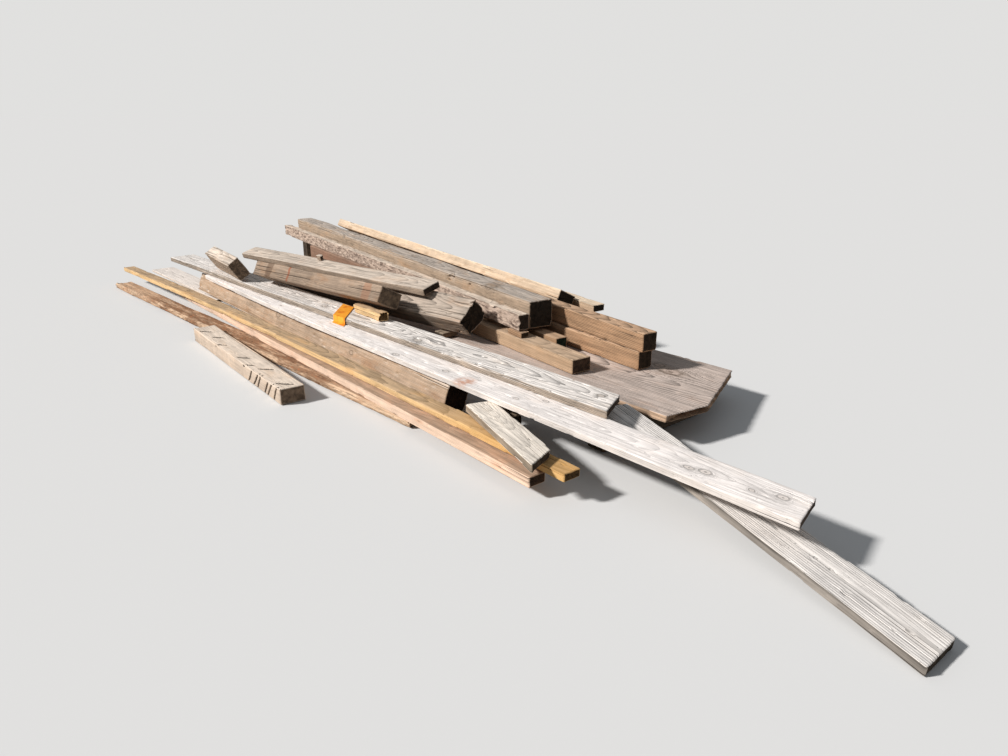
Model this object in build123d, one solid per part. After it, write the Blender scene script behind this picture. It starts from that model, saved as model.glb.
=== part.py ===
from build123d import *
import math
import os

# A loose heap of reclaimed timber. Each timber lies on the ground or on named neighbours.
# Every place is given at a timber's far end, in the yard: x runs along the heap and y across it.

# Clearances and edges
SEAT_GAP = 0.3
WORN_EDGE = 3.0
THIN_WORN_EDGE = 1.5
BEND_STATIONS = 8

# Short block, in front
BLOCK_LENGTH = 1450.0
BLOCK_WIDTH = 140.0
BLOCK_HEIGHT = 89.0
BLOCK_FAR_X = -1000.0
BLOCK_HEADING = -6.5

# Rotten timber and the two studs that lie along it
ROTTEN_LENGTH = 4145.0
ROTTEN_WIDTH = 140.0
ROTTEN_HEIGHT = 50.0
ROTTEN_FAR = (-3000.0, -633.0)
ROTTEN_HEADING = -0.6

PINK_LENGTH = 4080.0
PINK_WIDTH = 89.0
PINK_HEIGHT = 50.0
PINK_FAR = (-2062.0, -466.0)
PINK_HEADING = -4.5

YELLOW_LENGTH = 5290.0
YELLOW_WIDTH = 89.0
YELLOW_HEIGHT = 38.0
YELLOW_FAR = (-3142.0, -320.0)
YELLOW_HEADING = -4.45
YELLOW_CROOK = -195.0

# Thin plank on the ground, under the front beam's far end
FAR_PLANK_LENGTH = 1600.0
FAR_PLANK_WIDTH = 200.0
FAR_PLANK_HEIGHT = 20.0
FAR_PLANK_FAR = (-3510.0, -110.0)
FAR_PLANK_HEADING = -3.0

# Front beam, rolled towards the back
FRONT_LENGTH = 3335.0
FRONT_SIDE = 140.0
FRONT_FAR = (-2172.0, -247.0)
FRONT_HEADING = -3.8
FRONT_ROLL = -20.0

# Offcut across the studs, and the block under its far end
OFFCUT_LENGTH = 680.0
OFFCUT_WIDTH = 135.0
OFFCUT_HEIGHT = 38.0
OFFCUT_AHEAD = 270.0
OFFCUT_ASIDE = -97.0
OFFCUT_HEADING = -20.0
OFFCUT_SLANT = 99.0

PACKING_LENGTH = 206.0
PACKING_WIDTH = 100.0
PACKING_HEIGHT = 138.0
PACKING_AHEAD = 230.0
PACKING_ASIDE = -2.0
PACKING_HEADING = -10.0

# Fillers, on the packing block under the long plank and on the middle sleeper under the rough plank
FILLER_LENGTH = 80.0
FILLER_WIDTH = 40.0
NEAR_FILLER_PLACE = (116.0, 30.0)
MIDDLE_FILLER_PLACE = (20.0, 0.0)

# Wide slab and the sleepers under it
SLAB_LENGTH = 2525.0
SLAB_WIDTH = 760.0
SLAB_HEIGHT = 40.0
SLAB_FAR = (-276.0, 397.0)
SLAB_HEADING = -1.9
SLAB_END_SLANT = 21.0
SLAB_CLIP_ALONG = 145.0
SLAB_CLIP_ACROSS = 250.0

SLEEPER_LENGTH = 700.0
SLEEPER_WIDTH = 110.0
SLEEPER_HEIGHT = 120.0
SLEEPER_HEADING = 86.0
NEAR_SLEEPER_FAR = (1880.0, -290.0)
MIDDLE_SLEEPER_FAR = (60.0, -280.0)
FAR_SLEEPER_LENGTH = 1050.0
FAR_SLEEPER_HEIGHT = 150.0
FAR_SLEEPER_FAR = (-1500.0, -85.0)

# Planks on top of the front beam and the slab
LOW_PLANK_LENGTH = 1672.0
LOW_PLANK_WIDTH = 180.0
LOW_PLANK_HEIGHT = 38.0
LOW_PLANK_FAR = (1853.0, -158.0)
LOW_PLANK_HEADING = -18.5
LOW_PLANK_SLANT = 44.0

LONG_PLANK_LENGTH = 4870.0
LONG_PLANK_WIDTH = 200.0
LONG_PLANK_HEIGHT = 32.0
LONG_PLANK_FAR = (-1918.0, -329.0)
LONG_PLANK_HEADING = -1.85
LONG_PLANK_SLANT = 45.0
LONG_PLANK_CROOK = 62.0
LONG_PLANK_BENT_LENGTH = 2400.0

ROUGH_PLANK_LENGTH = 4621.0
ROUGH_PLANK_WIDTH = 200.0
ROUGH_PLANK_HEIGHT = 38.0
ROUGH_PLANK_FAR = (-2618.0, -250.0)
ROUGH_PLANK_HEADING = -0.3
ROUGH_PLANK_SLANT = 82.0

# Beams on the slab
BROWN_SIDE = 102.0
UPPER_BROWN_LENGTH = 2400.0
UPPER_BROWN_FAR = (-690.0, 787.0)
UPPER_BROWN_HEADING = -9.8
LOWER_BROWN_LENGTH = 3860.0
LOWER_BROWN_FAR = (-2180.0, 892.0)
LOWER_BROWN_HEADING = -7.5

TAN_LENGTH = 1800.0
TAN_WIDTH = 127.0
TAN_HEIGHT = 80.0
TAN_FAR = (-320.0, 390.0)
TAN_HEADING = -9.0

GREEN_END_LENGTH = 1480.0
GREEN_END_WIDTH = 80.0
GREEN_END_HEIGHT = 88.0
GREEN_END_FAR = (-300.0, 528.0)
GREEN_END_HEADING = -9.3

# Small board on the tan beam
DARK_BOARD_LENGTH = 130.0
DARK_BOARD_WIDTH = 60.0
DARK_BOARD_HEIGHT = 32.0
DARK_BOARD_FAR = (880.0, 178.0)

# Back beams
BIG_GREY_LENGTH = 4001.0
BIG_GREY_SIDE = 165.0
BIG_GREY_FAR = (-2930.0, 1105.0)
BIG_GREY_HEADING = -11.57

BARK_LENGTH = 4179.0
BARK_WIDTH = 75.0
BARK_HEIGHT = 95.0
BARK_FAR = (-3110.0, 1008.0)
BARK_HEADING = -11.55

RED_BOARD_LENGTH = 1900.0
RED_BOARD_WIDTH = 38.0
RED_BOARD_HEIGHT = 180.0
RED_BOARD_FAR = (-2030.0, 636.0)
RED_BOARD_HEADING = -11.3

# Rear timbers, with the brown beam and a light board on top of them
REAR_LENGTH = 3900.0
REAR_WIDTH = 150.0
REAR_HEIGHT = 130.0
REAR_FAR = (-2950.0, 1650.0)
REAR_HEADING = -12.0

BACK_BROWN_LENGTH = 3800.0
BACK_BROWN_WIDTH = 130.0
BACK_BROWN_HEIGHT = 75.0
BACK_BROWN_FAR = (-2935.0, 1539.0)
BACK_BROWN_ROLL = -28.0

LIGHT_BOARD_LENGTH = 400.0
LIGHT_BOARD_WIDTH = 89.0
LIGHT_BOARD_HEIGHT = 45.0
LIGHT_BOARD_FAR_BEFORE_END = 290.4
LIGHT_BOARD_ACROSS = 15.8

# Bearer across, under the far ends of the grey beam and the bark beam
BEARER_WIDTH = 110.0
BEARER_HEIGHT = 261.0
BEARER_FAR = (-2601.0, 885.0)

# Beams lying on the rough white plank
LEANING_LENGTH = 2310.0
LEANING_WIDTH = 180.0
LEANING_HEIGHT = 140.0
LEANING_FAR = (-1604.0, -30.0)
LEANING_HEADING = 2.12
LEANING_ROLL = 40.0

# Short rolled timber on the rough plank, beyond the leaning beam
FAR_STUB_LENGTH = 568.0
FAR_STUB_WIDTH = 98.0
FAR_STUB_HEIGHT = 159.0
FAR_STUB_FAR = (-1873.0, -283.0)
FAR_STUB_HEADING = -8.3
FAR_STUB_ROLL = 33.0

WEDGE_LENGTH = 110.0
WEDGE_WIDTH = 90.0
WEDGE_HEIGHT = 36.0
WEDGE_BEFORE_END = 240.0
WEDGE_ASIDE = -60.0

TOP_PLANK_LENGTH = 2150.0
TOP_PLANK_WIDTH = 136.0
TOP_PLANK_HEIGHT = 45.0
TOP_PLANK_FAR = (-1790.0, -46.0)
TOP_PLANK_HEADING = 2.12
TOP_PLANK_ROLL = 15.0

PALE_STUB_LENGTH = 60.0
PALE_STUB_WIDTH = 30.0
PALE_STUB_HEIGHT = 38.0
PALE_STUB_FAR = (-890.0, 20.0)

SPLIT_BOARD_LENGTH = 340.0
SPLIT_BOARD_WIDTH = 60.0
SPLIT_BOARD_HEIGHT = 55.0
SPLIT_BOARD_FAR = (-80.0, -215.0)
SPLIT_BOARD_HEADING = -3.0

RUST_LENGTH = 1452.0
RUST_WIDTH = 165.0
RUST_HEIGHT = 105.0
RUST_FAR = (-1200.0, -232.0)
RUST_HEADING = 1.6
RUST_ROLL = -28.0

# Plastic tag folded over the edge of the rough white plank, askew
TAG_WIDTH = 125.0
TAG_THICKNESS = 2.0
TAG_ALONG = 2520.0
TAG_ON_TOP = 185.0
TAG_ON_LOWER = 25.0
TAG_SKEW = 1.0
TAG_CLEARANCE = 0.6


def polar(x, y, heading, along, across=0.0):
    """A point in the yard, from a far end, a distance along the timber and one across it."""
    angle = math.radians(heading)
    return (
        x + along * math.cos(angle) - across * math.sin(angle),
        y + along * math.sin(angle) + across * math.cos(angle),
    )


def section_corners(width, height, roll, worn):
    """Corners of a rolled section with worn edges, as distance across and height above its middle."""
    turn = math.radians(roll)
    x = width / 2
    y = height / 2
    corners = [
        (worn - x, -y), (x - worn, -y), (x, worn - y), (x, y - worn),
        (x - worn, y), (worn - x, y), (-x, y - worn), (-x, worn - y),
    ]
    return [
        (a * math.cos(turn) - b * math.sin(turn), a * math.sin(turn) + b * math.cos(turn))
        for a, b in corners
    ]


def crossing(first, second):
    """Where two plan segments cross, or None."""
    (ax, ay), (bx, by) = first
    (cx, cy), (dx, dy) = second
    rx, ry = bx - ax, by - ay
    sx, sy = dx - cx, dy - cy
    area = rx * sy - ry * sx
    if abs(area) < 1e-9:
        return None
    t = ((cx - ax) * sy - (cy - ay) * sx) / area
    u = ((cx - ax) * ry - (cy - ay) * rx) / area
    if 0.0 <= t <= 1.0 and 0.0 <= u <= 1.0:
        return (ax + t * rx, ay + t * ry)
    return None


class Timber:
    """A timber, with its plan place, its rolled section and the height line of its middle.

    A crook sets its far end to one side, over the bent length. A slant cuts its near end askew.
    """

    def __init__(
        self, name, far, heading, length, width, height, roll=0.0, on=(), crook=0.0, bent=0.0, slant=0.0,
        worn=WORN_EDGE
    ):
        self.name = name
        self.crook = crook
        self.bent = bent
        self.slant = slant
        self.x, self.y = far
        self.heading = heading
        self.length = length
        self.width = width
        self.height = height
        self.roll = roll
        self.worn = worn
        self.corners = section_corners(width, height, roll, worn)
        self.base = 0.0
        self.slope = 0.0
        self.settle(on)

    def local(self, point):
        """Distance along and across this timber, of a point in the yard."""
        angle = math.radians(self.heading)
        dx = point[0] - self.x
        dy = point[1] - self.y
        along = dx * math.cos(angle) + dy * math.sin(angle)
        across = -dx * math.sin(angle) + dy * math.cos(angle)
        return along, across - self.shift(along)

    def shift(self, along):
        """How far the crook sets this timber aside, at a distance along it."""
        if not self.crook:
            return 0.0
        return self.crook * max(0.0, 1.0 - along / self.bent) ** 2

    def stops(self):
        """Distances along at which the bent outline has its corners."""
        if not self.crook:
            return [0.0, self.length]
        bends = [self.bent * i / BEND_STATIONS for i in range(BEND_STATIONS + 1)]
        return bends if self.bent == self.length else bends + [self.length]

    def place(self, along, across):
        """A point in the yard, from distances along and across this timber."""
        return polar(self.x, self.y, self.heading, along, across + self.shift(along))

    def reach(self):
        """Lowest and highest distance across that the rolled timber covers."""
        across = [a for a, _ in self.corners]
        return min(across), max(across)

    def covers(self, point):
        along, across = self.local(point)
        low, high = self.reach()
        return -1e-6 <= along <= self.length + 1e-6 and low - 1e-6 <= across <= high + 1e-6

    def edges(self):
        """Plan segments of the long edges and the two ends."""
        segments = []
        for across, _ in self.corners:
            line = [self.place(along, across) for along in self.stops()]
            segments += zip(line, line[1:])
        low, high = self.reach()
        ends = [(self.place(along, low), self.place(along, high)) for along in (0.0, self.length)]
        return segments + ends

    def surface(self, across, side):
        """Height of the section's upper (side 1) or lower (side -1) skin above its middle."""
        spread = [a for a, _ in self.corners]
        across = min(max(across, min(spread)), max(spread))
        best = None
        for (a0, b0), (a1, b1) in zip(self.corners, self.corners[1:] + self.corners[:1]):
            low, high = min(a0, a1), max(a0, a1)
            if across < low - 1e-6 or across > high + 1e-6:
                continue
            if high - low < 1e-6:
                candidates = [b0, b1]
            else:
                share = (across - a0) / (a1 - a0)
                candidates = [b0 + share * (b1 - b0)]
            for value in candidates:
                if best is None or side * value > side * best:
                    best = value
        return best / math.cos(math.atan(self.slope))

    def middle(self, along):
        return self.base + self.slope * along

    def touch_points(self, other):
        """Plan points where this timber could meet the other one."""
        points = []
        for mine in self.edges():
            for theirs in other.edges():
                point = crossing(mine, theirs)
                if point:
                    points.append(point)
        points += [p for segment in self.edges() for p in segment if other.covers(p)]
        points += [p for segment in other.edges() for p in segment if self.covers(p)]
        return points

    def settle(self, on):
        """Lower the timber onto the ground and its carriers, until it rests on both sides of its middle."""
        for _ in range(3):
            drop = -self.surface_lowest()
            needs = [(0.0, drop), (self.length, drop)]
            for carrier in on:
                for point in self.touch_points(carrier):
                    s, a = self.local(point)
                    cs, ca = carrier.local(point)
                    lift = carrier.surface(ca, 1) - self.surface(a, -1)
                    needs.append((s, carrier.middle(cs) + lift + SEAT_GAP))
            self.base, self.slope = resting_line(needs, self.length / 2)

    def surface_lowest(self):
        return min(b for _, b in self.corners) / math.cos(math.atan(self.slope))

    def plane(self):
        """Plane at the far end, with its normal along the timber and its x across it."""
        angle = math.radians(self.heading)
        rise = math.atan(self.slope)
        along = Vector(
            math.cos(angle) * math.cos(rise), math.sin(angle) * math.cos(rise), math.sin(rise)
        )
        across = Vector(-math.sin(angle), math.cos(angle), 0.0)
        return Plane(origin=(self.x, self.y, self.base), x_dir=across, z_dir=along)

    def solid(self):
        """Squared timber with worn long edges, with its crook and its slanted end."""
        section = Polygon(*self.corners, align=None)
        body = loft([Pos(self.shift(along), 0, along) * section for along in self.stops()], ruled=True)
        if self.slant:
            cut = Plane(origin=(-self.width / 2, 0, self.length), z_dir=(self.slant, 0, self.width))
            body = split(body, bisect_by=cut, keep=Keep.BOTTOM)
        return self.plane() * body


def resting_line(needs, middle):
    """Lowest straight line that clears every (distance, height) need, judged at the middle."""
    best = None
    for s0, z0 in needs:
        for s1, z1 in needs:
            if not s0 <= middle <= s1 or s1 - s0 < 1e-6:
                continue
            slope = (z1 - z0) / (s1 - s0)
            base = z0 - slope * s0
            if all(base + slope * s >= z - 1e-6 for s, z in needs):
                if best is None or base + slope * middle < best[0] + best[1] * middle - 1e-9:
                    best = (base, slope)
    return best


def slab_solid(slab):
    """Wide slab with a slanted near end and its front corner clipped."""
    half = slab.width / 2
    slant = math.tan(math.radians(SLAB_END_SLANT)) * slab.width
    tip = slab.length
    outline = Polyline(
        (-half, 0.0),
        (half, 0.0),
        (half, tip - slant),
        (-half + SLAB_CLIP_ACROSS, tip - slant * SLAB_CLIP_ACROSS / slab.width),
        (-half, tip - SLAB_CLIP_ALONG),
        close=True,
    )
    face = make_face(Plane.XZ * outline)
    body = extrude(face, slab.height / 2, both=True)
    return slab.plane() * body


def tag_leg(corners, bottom, thickness):
    """Flat piece of the tag, from plan corners given as across and along."""
    face = make_face(Plane.XZ * Polyline(*corners, close=True))
    return Pos(0, bottom, 0) * extrude(face, thickness, dir=(0, 1, 0))


def tag_solid(upper, lower):
    """Thin tag that lies on the upper plank, folds down its edge and lies on the lower plank."""
    edge = -upper.width / 2 - TAG_CLEARANCE
    start = TAG_ALONG
    end = TAG_ALONG + TAG_WIDTH
    top = upper.height / 2 + SEAT_GAP
    place = polar(upper.x, upper.y, upper.heading, TAG_ALONG, edge)
    along, across = lower.local(place)
    bottom = lower.middle(along) + lower.surface(across, 1) + TAG_CLEARANCE - upper.middle(TAG_ALONG)
    back = edge + TAG_ON_TOP
    back_shift = TAG_ON_TOP * TAG_SKEW
    outer = edge - TAG_THICKNESS
    front = outer - TAG_ON_LOWER
    front_shift = TAG_ON_LOWER * TAG_SKEW
    on_top = tag_leg(
        [
            (outer, start), (outer, end), (edge, end),
            (back, end - back_shift), (back, start - back_shift), (edge, start),
        ],
        top, TAG_THICKNESS
    )
    fold = tag_leg([(outer, start), (outer, end), (edge, end), (edge, start)], bottom, top - bottom)
    on_lower = tag_leg(
        [(outer, start), (outer, end), (front, end + front_shift), (front, start + front_shift)],
        bottom, TAG_THICKNESS
    )
    return upper.plane() * (on_top + fold + on_lower)


def front_group():
    """Block, rotten timber, studs and front beam, which all lie on the ground."""
    rotten = Timber("rotten_timber", ROTTEN_FAR, ROTTEN_HEADING, ROTTEN_LENGTH, ROTTEN_WIDTH, ROTTEN_HEIGHT)
    pink = Timber("pink_stud", PINK_FAR, PINK_HEADING, PINK_LENGTH, PINK_WIDTH, PINK_HEIGHT, on=[rotten])
    yellow = Timber(
        "yellow_stud", YELLOW_FAR, YELLOW_HEADING, YELLOW_LENGTH, YELLOW_WIDTH, YELLOW_HEIGHT,
        on=[rotten, pink], crook=YELLOW_CROOK, bent=YELLOW_LENGTH
    )
    block = Timber(
        "short_block", in_front_of(rotten, BLOCK_FAR_X), BLOCK_HEADING, BLOCK_LENGTH, BLOCK_WIDTH,
        BLOCK_HEIGHT
    )
    far_plank = Timber(
        "far_white_plank", FAR_PLANK_FAR, FAR_PLANK_HEADING, FAR_PLANK_LENGTH, FAR_PLANK_WIDTH,
        FAR_PLANK_HEIGHT
    )
    front = Timber(
        "front_beam", FRONT_FAR, FRONT_HEADING, FRONT_LENGTH, FRONT_SIDE, FRONT_SIDE, FRONT_ROLL,
        on=[far_plank]
    )
    return {timber.name: timber for timber in (rotten, pink, yellow, block, far_plank, front)}


def in_front_of(carrier, x):
    """Far end of the short block, with its back corner against the carrier's front edge."""
    turn = math.radians(BLOCK_HEADING)
    corner_x = x - BLOCK_WIDTH / 2 * math.sin(turn)
    start = polar(carrier.x, carrier.y, carrier.heading, 0.0, -carrier.width / 2)
    edge_y = start[1] + (corner_x - start[0]) * math.tan(math.radians(carrier.heading))
    return (x, edge_y - BLOCK_WIDTH / 2 * math.cos(turn) - SEAT_GAP)


def near_group(front, pink, yellow):
    """Offcut and its packing, which start just ahead of the front beam's near end."""
    end_x, end_y = polar(front.x, front.y, front.heading, front.length)
    packing = Timber(
        "packing_block", (end_x + PACKING_AHEAD, end_y + PACKING_ASIDE), PACKING_HEADING, PACKING_LENGTH,
        PACKING_WIDTH, PACKING_HEIGHT
    )
    offcut = Timber(
        "grey_offcut", (end_x + OFFCUT_AHEAD, end_y + OFFCUT_ASIDE), OFFCUT_HEADING, OFFCUT_LENGTH,
        OFFCUT_WIDTH, OFFCUT_HEIGHT, on=[pink, yellow, packing], slant=OFFCUT_SLANT
    )
    return {timber.name: timber for timber in (packing, offcut)}


def sleepers():
    """Plain timbers laid across, out of sight."""
    sizes = [
        ("near_sleeper", NEAR_SLEEPER_FAR, SLEEPER_LENGTH, SLEEPER_HEIGHT),
        ("middle_sleeper", MIDDLE_SLEEPER_FAR, SLEEPER_LENGTH, SLEEPER_HEIGHT),
        ("far_sleeper", FAR_SLEEPER_FAR, FAR_SLEEPER_LENGTH, FAR_SLEEPER_HEIGHT),
    ]
    return [
        Timber(name, far, SLEEPER_HEADING, length, SLEEPER_WIDTH, height)
        for name, far, length, height in sizes
    ]


def slab_group(under):
    """Slab and the beams that lie on it."""
    slab = Timber(
        "wide_slab", SLAB_FAR, SLAB_HEADING, SLAB_LENGTH, SLAB_WIDTH, SLAB_HEIGHT, on=under[:2], worn=0.0
    )
    base = [slab] + under
    tan = Timber("tan_beam", TAN_FAR, TAN_HEADING, TAN_LENGTH, TAN_WIDTH, TAN_HEIGHT, on=base)
    green = Timber(
        "green_end_beam", GREEN_END_FAR, GREEN_END_HEADING, GREEN_END_LENGTH, GREEN_END_WIDTH,
        GREEN_END_HEIGHT, on=base
    )
    lower_brown = Timber(
        "lower_brown_beam", LOWER_BROWN_FAR, LOWER_BROWN_HEADING, LOWER_BROWN_LENGTH, BROWN_SIDE,
        BROWN_SIDE, on=base
    )
    upper_brown = Timber(
        "upper_brown_beam", UPPER_BROWN_FAR, UPPER_BROWN_HEADING, UPPER_BROWN_LENGTH, BROWN_SIDE, BROWN_SIDE,
        on=[lower_brown]
    )
    red_board = Timber(
        "red_board", RED_BOARD_FAR, RED_BOARD_HEADING, RED_BOARD_LENGTH, RED_BOARD_WIDTH,
        RED_BOARD_HEIGHT, on=base
    )
    dark_board = Timber(
        "dark_board", DARK_BOARD_FAR, TAN_HEADING, DARK_BOARD_LENGTH, DARK_BOARD_WIDTH, DARK_BOARD_HEIGHT,
        on=[tan]
    )
    group = (slab, tan, green, lower_brown, upper_brown, red_board, dark_board)
    return {timber.name: timber for timber in group}


def bearer_on_ground(rear):
    """Tall bearer that stops just before the rear timber's front face."""
    _, start = rear.local(BEARER_FAR)
    length = -start - rear.width / 2 - SEAT_GAP
    return Timber("far_bearer", BEARER_FAR, REAR_HEADING + 90.0, length, BEARER_WIDTH, BEARER_HEIGHT)


def back_group(green, lower_brown, tan, dark_board):
    """Grey beam, bark beam and what lies behind them."""
    rear_lower = Timber("rear_lower", REAR_FAR, REAR_HEADING, REAR_LENGTH, REAR_WIDTH, REAR_HEIGHT)
    rear_upper = Timber(
        "rear_upper", REAR_FAR, REAR_HEADING, REAR_LENGTH, REAR_WIDTH, REAR_HEIGHT, on=[rear_lower]
    )
    back_brown = Timber(
        "back_brown_beam", BACK_BROWN_FAR, REAR_HEADING, BACK_BROWN_LENGTH, BACK_BROWN_WIDTH,
        BACK_BROWN_HEIGHT, BACK_BROWN_ROLL, on=[rear_upper]
    )
    light_far = rear_upper.place(REAR_LENGTH - LIGHT_BOARD_FAR_BEFORE_END, LIGHT_BOARD_ACROSS)
    light_board = Timber(
        "back_light_board", light_far, REAR_HEADING, LIGHT_BOARD_LENGTH, LIGHT_BOARD_WIDTH,
        LIGHT_BOARD_HEIGHT, on=[rear_upper]
    )
    bearer = bearer_on_ground(rear_lower)
    big_grey = Timber(
        "big_grey_beam", BIG_GREY_FAR, BIG_GREY_HEADING, BIG_GREY_LENGTH, BIG_GREY_SIDE, BIG_GREY_SIDE,
        on=[green, lower_brown, tan, bearer]
    )
    bark = Timber(
        "bark_beam", BARK_FAR, BARK_HEADING, BARK_LENGTH, BARK_WIDTH, BARK_HEIGHT,
        on=[green, lower_brown, tan, dark_board, bearer]
    )
    group = (rear_lower, rear_upper, back_brown, light_board, bearer, big_grey, bark)
    return {timber.name: timber for timber in group}


def filler_between(name, carrier, place, above):
    """Small block that fills the height between a carrier and the timber above it."""
    along, aside = place
    far = polar(carrier.x, carrier.y, carrier.heading, along, aside)
    near = polar(*far, carrier.heading, FILLER_LENGTH)
    undersides = []
    for point in (far, near):
        s, across = above.local(point)
        undersides.append(above.middle(s) + above.surface(across, -1))
    top = carrier.middle(along) + carrier.surface(aside, 1)
    height = min(undersides) - top - 2 * SEAT_GAP
    return Timber(name, far, carrier.heading, FILLER_LENGTH, FILLER_WIDTH, height, on=[carrier])


def plank_group(front, offcut, slab, tan, near_sleeper):
    """Low plank, long plank and rough plank, each on the one before."""
    low_plank = Timber(
        "low_grey_plank", LOW_PLANK_FAR, LOW_PLANK_HEADING, LOW_PLANK_LENGTH, LOW_PLANK_WIDTH,
        LOW_PLANK_HEIGHT, on=[slab, near_sleeper], slant=LOW_PLANK_SLANT
    )
    long_plank = Timber(
        "long_white_plank", LONG_PLANK_FAR, LONG_PLANK_HEADING, LONG_PLANK_LENGTH, LONG_PLANK_WIDTH,
        LONG_PLANK_HEIGHT, on=[front, offcut, low_plank], crook=LONG_PLANK_CROOK, bent=LONG_PLANK_BENT_LENGTH,
        slant=LONG_PLANK_SLANT, worn=THIN_WORN_EDGE
    )
    rough_plank = Timber(
        "rough_white_plank", ROUGH_PLANK_FAR, ROUGH_PLANK_HEADING, ROUGH_PLANK_LENGTH, ROUGH_PLANK_WIDTH,
        ROUGH_PLANK_HEIGHT, on=[long_plank, slab, low_plank, tan], slant=ROUGH_PLANK_SLANT
    )
    return {timber.name: timber for timber in (low_plank, long_plank, rough_plank)}


def top_group(rough_plank, slab, tan, far_sleeper):
    """Leaning beam on its wedge, the plank on its ridge, and the short pieces in front of it."""
    wedge_place = polar(*LEANING_FAR, LEANING_HEADING, LEANING_LENGTH - WEDGE_BEFORE_END, WEDGE_ASIDE)
    wedge = Timber(
        "wedge_block", wedge_place, SLEEPER_HEADING, WEDGE_LENGTH, WEDGE_WIDTH, WEDGE_HEIGHT, on=[slab]
    )
    leaning = Timber(
        "leaning_beam", LEANING_FAR, LEANING_HEADING, LEANING_LENGTH, LEANING_WIDTH, LEANING_HEIGHT,
        LEANING_ROLL, on=[slab, rough_plank, tan, wedge, far_sleeper]
    )
    far_stub = Timber(
        "far_stub", FAR_STUB_FAR, FAR_STUB_HEADING, FAR_STUB_LENGTH, FAR_STUB_WIDTH, FAR_STUB_HEIGHT,
        FAR_STUB_ROLL, on=[rough_plank]
    )
    split_board = Timber(
        "split_board", SPLIT_BOARD_FAR, SPLIT_BOARD_HEADING, SPLIT_BOARD_LENGTH, SPLIT_BOARD_WIDTH,
        SPLIT_BOARD_HEIGHT, on=[rough_plank]
    )
    rust = Timber(
        "rust_striped_beam", RUST_FAR, RUST_HEADING, RUST_LENGTH, RUST_WIDTH, RUST_HEIGHT, RUST_ROLL,
        on=[rough_plank, split_board]
    )
    top_plank = Timber(
        "top_plank", TOP_PLANK_FAR, TOP_PLANK_HEADING, TOP_PLANK_LENGTH, TOP_PLANK_WIDTH, TOP_PLANK_HEIGHT,
        TOP_PLANK_ROLL, on=[leaning]
    )
    stub = Timber(
        "pale_stub", PALE_STUB_FAR, TOP_PLANK_HEADING, PALE_STUB_LENGTH, PALE_STUB_WIDTH, PALE_STUB_HEIGHT,
        TOP_PLANK_ROLL, on=[top_plank]
    )
    return {timber.name: timber for timber in (wedge, leaning, far_stub, split_board, rust, top_plank, stub)}


def build_heap():
    """All timbers, from the ground up, as solids by name."""
    under = sleepers()
    heap = {timber.name: timber for timber in under}
    heap.update(front_group())
    heap.update(near_group(heap["front_beam"], heap["pink_stud"], heap["yellow_stud"]))
    heap.update(slab_group(under))
    heap.update(
        back_group(heap["green_end_beam"], heap["lower_brown_beam"], heap["tan_beam"], heap["dark_board"])
    )
    heap.update(
        plank_group(
            heap["front_beam"], heap["grey_offcut"], heap["wide_slab"], heap["tan_beam"], heap["near_sleeper"]
        )
    )
    heap["filler_block"] = filler_between(
        "filler_block", heap["packing_block"], NEAR_FILLER_PLACE, heap["long_white_plank"]
    )
    heap["middle_filler"] = filler_between(
        "middle_filler", heap["middle_sleeper"], MIDDLE_FILLER_PLACE, heap["rough_white_plank"]
    )
    heap.update(
        top_group(heap["rough_white_plank"], heap["wide_slab"], heap["tan_beam"], heap["far_sleeper"])
    )
    solids = {name: timber.solid() for name, timber in heap.items()}
    solids["wide_slab"] = slab_solid(heap["wide_slab"])
    solids["orange_tag"] = tag_solid(heap["rough_white_plank"], heap["long_white_plank"])
    return solids


def main():
    solids = build_heap()
    box = Compound(children=[solid.moved(Location()) for solid in solids.values()]).bounding_box()
    to_middle = Location((-box.center().X, -box.center().Y, 0.0))
    os.makedirs("parts", exist_ok=True)
    for name, solid in solids.items():
        export_step(solid.moved(to_middle), "parts/" + name + ".step")
    print("heap", round(box.size.X), round(box.size.Y), round(box.max.Z), "mm")
    print("middle in the yard", round(box.center().X, 1), round(box.center().Y, 1))


main()
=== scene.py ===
import bmesh
import bpy
import math
import numpy as np
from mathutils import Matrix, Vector


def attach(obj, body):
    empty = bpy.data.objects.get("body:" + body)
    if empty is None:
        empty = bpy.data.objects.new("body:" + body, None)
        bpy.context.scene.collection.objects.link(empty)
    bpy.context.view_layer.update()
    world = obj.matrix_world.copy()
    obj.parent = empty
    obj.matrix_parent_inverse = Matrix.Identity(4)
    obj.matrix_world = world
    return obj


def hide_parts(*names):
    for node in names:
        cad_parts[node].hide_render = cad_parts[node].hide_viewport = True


# A loose heap of reclaimed timber on a plain floor. Sizes are in metres, in the frame's axes.

# Camera
CAMERA_PLACE = (3.8466, -3.0479, 1.42)
CAMERA_HEADING = 46.0
CAMERA_DROP = 19.5
FOCAL_PIXELS = 757.0
IMAGE_WIDTH = 1008
SENSOR_WIDTH = 36.0
VIEW_REACH = 200.0

# Reading the solids: merge distance, flat angle in degrees, and room around a station
MERGE = 1e-5
FLAT_ANGLE = 1.0
STATION_ROOM = 0.001
WHOLE_SECTION = 1.96
LOOKS_BACK = -0.9

# Mesh: cell sizes, and how much wider the cells are that face away
CELL_ALONG = 0.012
CELL_ACROSS = 0.0066
COARSE_SIDE = 2.6
END_ROWS = (0.0, 0.0015, 0.004, 0.008)
CAP_RINGS = (0.95, 0.82, 0.6, 0.35)
QUICK_WIDENING = 0.3
SHARP_ANGLE = 38.0

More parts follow.
